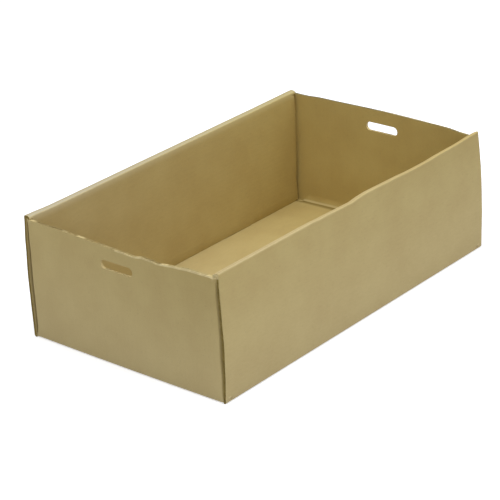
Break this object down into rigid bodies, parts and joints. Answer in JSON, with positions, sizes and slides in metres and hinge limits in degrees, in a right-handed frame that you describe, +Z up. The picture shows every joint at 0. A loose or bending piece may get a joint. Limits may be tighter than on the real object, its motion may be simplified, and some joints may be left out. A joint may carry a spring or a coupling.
{
  "type": "cardboard tray box",
  "caption": "Open kraft corrugated tray folded from one die-cut sheet, with rolled-over long walls and an obround hand slot near the top of each single end.",
  "frame": {"origin": "centre of the underside, on the surface that the tray stands on", "axes": "+X along the tray, from the near end to the far end; +Y across it, to the far long wall; +Z up, towards the open top"},
  "size_m": [0.6, 0.365, 0.19],
  "materials": {
    "kraft_board": "matte unbleached kraft liner, with open flutes on the raw cut edges"
  },
  "bodies": {
    "root": {"tray_box": "kraft_board"}
  },
  "joints": []
}
